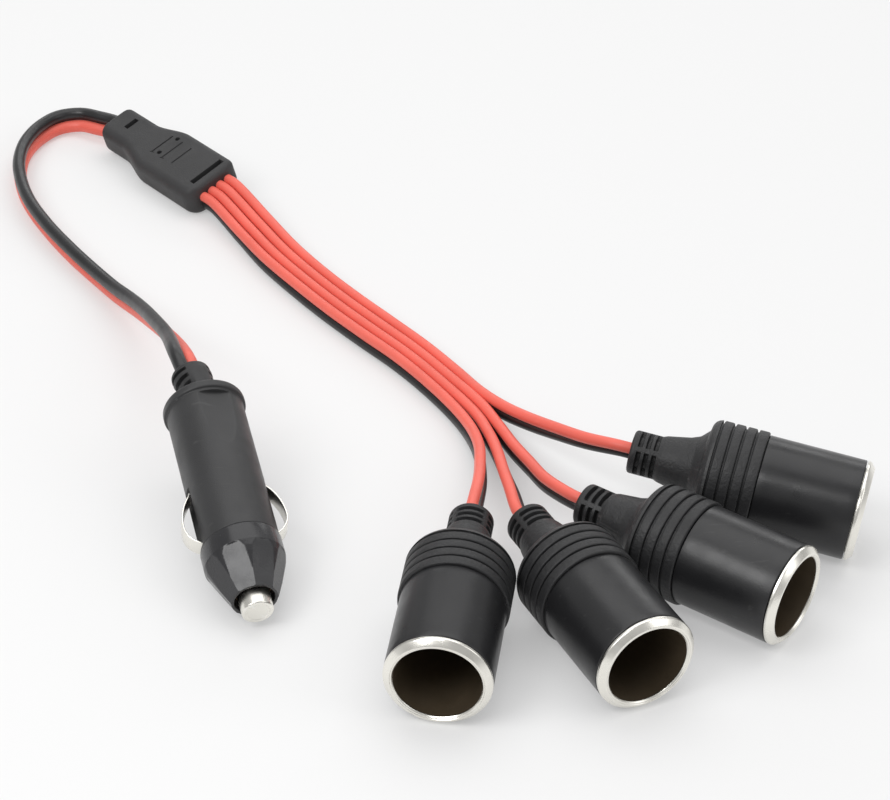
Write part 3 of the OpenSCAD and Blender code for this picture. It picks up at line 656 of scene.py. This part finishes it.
def strip(name, side, body, cad):
    """A bowed contact strip in the piece's y-z plane, steep at the cap's end, with a rolled eye at the rear."""
    w, t = 5.0, 0.5
    mid, nor = [], []
    for a in np.linspace(math.asin(10.6 / 16.75), 0, 46):
        mid.append((-3.4 + 16.75 * math.cos(a), -12.5 - 16.75 * math.sin(a)))
        nor.append((math.cos(a), -math.sin(a)))
    for a in np.linspace(0, math.acos(1.65 / 6.35), 34)[1:]:
        mid.append((7 + 6.35 * math.cos(a), -12.5 + 6.35 * math.sin(a)))
        nor.append((math.cos(a), math.sin(a)))
    sec = []
    for sx, sy in ((1, 1), (-1, 1), (-1, -1), (1, -1)):
        base = {(1, 1): 0, (-1, 1): 90, (-1, -1): 180, (1, -1): 270}[(sx, sy)]
        for k in range(4):
            q = rad(base + 30 * k)
            sec.append((sx * (w / 2 - 0.18) + 0.18 * math.cos(q), sy * (t / 2 - 0.18) + 0.18 * math.sin(q)))
    n = len(sec)
    m = len(mid)
    verts = []
    for i in range(m):
        # narrower towards both ends
        k = 1 - 0.16 * abs(2 * i / (m - 1) - 1) ** 5
        for x, h in sec:
            verts.append((x * k, mid[i][0] + h * nor[i][0], mid[i][1] + h * nor[i][1]))
    faces = [tuple(range(n)), tuple((m - 1) * n + k for k in range(n))[::-1]]
    for i in range(m - 1):
        for k in range(n):
            k2 = (k + 1) % n
            faces.append((i * n + k2, i * n + k, (i + 1) * n + k, (i + 1) * n + k2))
    # rolled eye
    c0 = len(verts)
    ne = 24
    for x, r in ((-2.1, 0.38), (-1.98, 0.5), (1.98, 0.5), (2.1, 0.38)):
        for k in range(ne):
            q = 2 * math.pi * k / ne
            verts.append((x, 9.65 + r * math.cos(q), -23.1 + r * math.sin(q)))
    faces += [tuple(c0 + k for k in range(ne))[::-1], tuple(c0 + 3 * ne + k for k in range(ne))]
    for j in range(3):
        for k in range(ne):
            k2 = (k + 1) % ne
            faces.append((c0 + j * ne + k, c0 + j * ne + k2, c0 + (j + 1) * ne + k2, c0 + (j + 1) * ne + k))
    verts = np.array(verts)
    if side < 0:
        verts[:, :2] *= -1
    own(make(name, put(M_PLUG, verts), faces, ["nickel"], sharp=40), body, "nickel", cad)


handle()
plug_boot()
cap()
tip()
strip("left_strip", 1, "side_left", "side_contact_left")
strip("right_strip", -1, "side_right", "side_contact_right")


# ------------------------------------------------------------------ junction block
def block():
    h = 5.25
    s1 = S0 + BLOCK_L
    marks = [0, 16.9, 22, 26.9, 39.95, 19.3]
    s = set(np.round(np.linspace(S0, s1, 160), 4))
    for q in marks:
        s |= set(np.round(np.arange(q - 1.2, q + 1.21, 0.1), 4))
    e = 2.0
    for q in (S0, s1):
        for a in np.linspace(0, math.pi / 2, 9):
            for d in (e * (1 - math.cos(a)), 4.2 * (1 - math.cos(a))):
                s.add(round(q + d if q == S0 else q - d, 4))
    s = np.array(sorted(s))

    def round_in(d, r):
        return r - math.sqrt(max(0, r * r - (r - min(d, r)) ** 2))

    top = np.linspace(0, 1, 170)
    verts, rings = [], []
    for x in s:
        d0, d1 = x - S0, s1 - x
        hh = h - round_in(min(d0, d1), e)
        # the lower side widens sooner than the upper one, and the front corner there is rounder
        lo = 6.7 + 3.25 * smoothstep((x - 3.5) / 14.0) - round_in(d0, 2.6) - round_in(d1, 4.2)
        hi = 6.7 + 3.25 * smoothstep((x - 6.5) / 14.0) - round_in(d0, 2.6) - round_in(d1, 2.8)
        et_lo, et_hi, eb = min(3.1, hh), min(2.1, hh), min(3.5, hh)
        ring = []
        # top, left to right
        for q in top:
            ring.append((-(lo - et_lo) + q * (hi - et_hi + lo - et_lo), hh))
        for a in np.linspace(0, math.pi / 2, 10)[1:]:
            ring.append((hi - et_hi + et_hi * math.sin(a), hh - et_hi + et_hi * math.cos(a)))
        for q in np.linspace(hh - et_hi, -hh + eb, 7)[1:]:
            ring.append((hi, q))
        for a in np.linspace(0, math.pi / 2, 10)[1:]:
            ring.append((hi - eb + eb * math.cos(a), -hh + eb - eb * math.sin(a)))
        for q in np.linspace(hi - eb, -lo + eb, 19)[1:]:
            ring.append((q, -hh))
        for a in np.linspace(0, math.pi / 2, 12)[1:]:
            ring.append((-lo + eb - eb * math.sin(a), -hh + eb - eb * math.cos(a)))
        for q in np.linspace(-hh + eb, hh - et_lo, 7)[1:]:
            ring.append((-lo, q))
        for a in np.linspace(0, math.pi / 2, 12)[1:-1]:
            ring.append((-lo + et_lo - et_lo * math.cos(a), hh - et_lo + et_lo * math.sin(a)))
        y = np.array([p[0] for p in ring]) + BLOCK_C
        z = np.array([p[1] for p in ring])
        up_face = z > hh - 0.9

        def bar(c, hw, mid, hl, depth, soft=0.12):
            return depth * (1 - smoothstep((abs(x - c) - hw) / soft)) * (1 - smoothstep((np.abs(y - mid) - hl) / soft))

        cut = np.zeros(len(y))
        cut = np.maximum(cut, bar(0, 0.85, 0, 2.3, 2.4))
        cut = np.maximum(cut, bar(39.95, 0.85, -0.1, 6.1, 2.4))
        for c, mid, hl in ((16.9, -0.2, 4.3), (22, -0.2, 4.3), (26.9, -0.2, 4.1)):
            cut = np.maximum(cut, bar(c, 0.17, mid, hl, 0.45))
        for c in (-3.4, 4.2):
            dd = np.sqrt((x - 19.3) ** 2 + (y - c) ** 2)
            cut = np.maximum(cut, 1.3 * (1 - smoothstep((dd - 0.66) / 0.14)))
        # short marks across the lower ends of the first two lines
        for c in (17.1, 22.2):
            cut = np.maximum(cut, 0.25 * (1 - smoothstep((abs(x - c) - 0.7) / 0.15)) * (1 - smoothstep((np.abs(y + 4.75 - 0.25 * (x - c)) - 0.16) / 0.12)))
        z = z - np.where(up_face, cut, 0)
        rings.append(len(verts))
        verts += [(x, a, b) for a, b in zip(y, z)]
    n = len(ring)
    faces = []
    for a, b in zip(rings[:-1], rings[1:]):
        for k in range(n):
            k2 = (k + 1) % n
            faces.append((a + k, b + k, b + k2, a + k2))
    c0 = len(verts)
    verts.append((S0, BLOCK_C, 0))
    c1 = len(verts)
    verts.append((s1, BLOCK_C, 0))
    for k in range(n):
        k2 = (k + 1) % n
        faces.append((c0, rings[0] + k, rings[0] + k2))
        faces.append((c1, rings[-1] + k2, rings[-1] + k))
    faces = [f[::-1] for f in faces]
    own(make("junction", put(M_BLOCK, verts), faces, ["block"], sharp=50), ROOT, "grip_pvc", "junction_housing")


block()

# ------------------------------------------------------------------ CAD pieces that stay
KEEP = {"insulator": "fibre", "center_contact": "brass", "ground_tab": "nickel", "red_tail": "red", "black_tail": "black"}
for n in range(1, 5):
    for k, mat in KEEP.items():
        o = nodes[f"socket_{n}_{k}"]
        o.data.materials.clear()
        o.data.materials.append(MAT[mat])
for k, mat in {"red_splice": "red", "black_splice": "black", "cap_washer": "fibre", "tip_spring": "steel", "fuse_glass": "glass", "fuse_cap_front": "nickel",
               "fuse_cap_rear": "nickel", "rear_fuse_contact": "brass", "plug_red_tail": "red", "plug_black_tail": "black"}.items():
    o = nodes[k]
    o.data.materials.clear()
    o.data.materials.append(MAT[mat])

# ------------------------------------------------------------------ floor and light
me = bpy.data.meshes.new("floor")
S = 6.0
me.from_pydata([(-S, -S, 0), (S, -S, 0), (S, S, 0), (-S, S, 0)], [], [(0, 1, 2, 3)])
fm = bpy.data.materials.new("floor_paper")
fm.use_nodes = True
fb = fm.node_tree.nodes["Principled BSDF"]
fb.inputs["Base Color"].default_value = (0.5, 0.5, 0.5, 1)
fb.inputs["Roughness"].default_value = 0.9
fb.inputs["Specular IOR Level"].default_value = 0.1
fb.inputs["Emission Color"].default_value = (1, 1, 1, 1)
fb.inputs["Emission Strength"].default_value = 0.34
me.materials.append(fm)
floor = bpy.data.objects.new("floor", me)
bpy.context.scene.collection.objects.link(floor)

world = bpy.data.worlds.new("studio")
bpy.context.scene.world = world
world.use_nodes = True
bg = world.node_tree.nodes["Background"]
bg.inputs["Color"].default_value = (1, 1, 1, 1)
bg.inputs["Strength"].default_value = 0.45
bpy.context.scene.view_settings.view_transform = "Standard"


def area(name, loc, target, size, power, colour=(1, 1, 1)):
    d = bpy.data.lights.new(name, "AREA")
    d.shape = "RECTANGLE"
    d.size, d.size_y = size
    d.energy = power
    d.color = colour
    o = bpy.data.objects.new(name, d)
    bpy.context.scene.collection.objects.link(o)
    z = unit(np.array(loc, float) - np.array(target, float))
    x = unit(np.cross([0, 0, 1.0], z)) if abs(z[2]) < 0.99 else np.array([1.0, 0, 0])
    y = np.cross(z, x)
    o.matrix_world = Matrix([[x[k], y[k], z[k], loc[k]] for k in range(3)] + [[0, 0, 0, 1]])
    return o


area("key", (-0.55, -0.52, 0.80), (0, -0.08, 0), (0.55, 0.5), 4.6)
area("front", (-0.15, -0.8, 1.1), (0.08, -0.08, 0), (0.3, 0.3), 1.4)
area("back", (0.1, 1.1, 0.5), (0, -0.1, 0), (1.2, 0.3), 2.0)
area("overhead", (0.0, 0.4, 1.3), (0, 0, 0), (1.8, 1.2), 9.5)
area("fill", (0.9, -0.3, 0.6), (0, 0, 0), (0.6, 0.6), 1.5)
